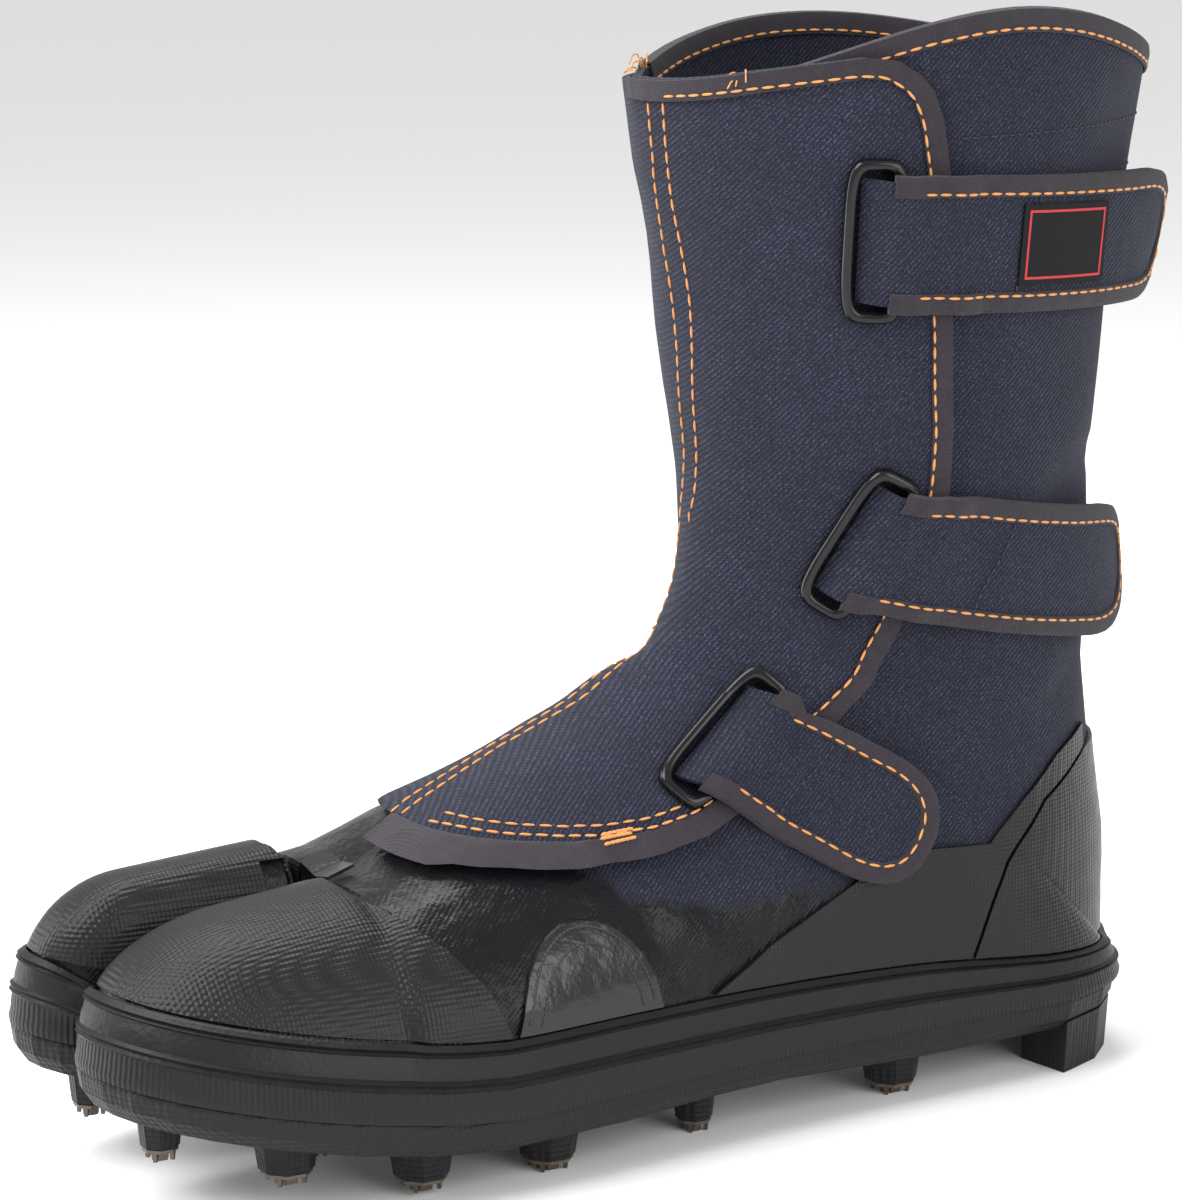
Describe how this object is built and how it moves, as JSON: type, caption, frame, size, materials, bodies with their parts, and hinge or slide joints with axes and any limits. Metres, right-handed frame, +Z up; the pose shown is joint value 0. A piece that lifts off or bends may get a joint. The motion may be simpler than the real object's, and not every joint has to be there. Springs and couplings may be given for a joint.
{
  "type": "split-toe work boot",
  "caption": "Left split-toe work boot with a twill shaft, a front flap, three hook-and-loop straps through slot frames, rubber foxing and a spiked rubber sole.",
  "frame": {"origin": "on the floor, under the middle of the boot's outline", "axes": "+Z up, the toe points to -Y, the outer side of the left foot is +X"},
  "size_m": [0.1064, 0.2954, 0.2709],
  "materials": {
    "denim": "dark indigo twill with a matt face",
    "rubber": "matt black rubber with fine texture",
    "frame_gloss": "glossy black",
    "steel": "dull worn steel",
    "insole_foam": "matt dark felt"
  },
  "bodies": {
    "root": {"cleft_patch": "rubber", "collar_binding": "denim", "flap_binding": "denim", "foxing": "rubber", "front_flap": "denim", "heel_counter": "rubber", "insole": "insole_foam", "label_patch": "denim", "outsole": "rubber", "quarter_guard_lateral": "rubber", "quarter_guard_medial": "rubber", "side_patch_lateral": "rubber", "side_patch_medial": "rubber", "slot_frame_bottom": "frame_gloss", "slot_frame_middle": "frame_gloss", "slot_frame_top": "frame_gloss", "spike_fore_inner_1": "steel", "spike_fore_inner_2": "steel", "spike_fore_inner_3": "steel", "spike_fore_middle_1": "steel", "spike_fore_middle_2": "steel", "spike_fore_outer_1": "steel", "spike_fore_outer_2": "steel", "spike_fore_outer_3": "steel", "spike_heel_inner": "steel", "spike_heel_middle": "steel", "spike_heel_outer": "steel", "spike_toe_big": "steel", "spike_toe_outer": "steel", "spike_waist_outer": "steel", "strap_bottom": "denim", "strap_middle": "denim", "strap_top": "denim", "toe_cap_lateral": "rubber", "toe_cap_medial": "rubber", "upper": "denim"}
  },
  "joints": []
}
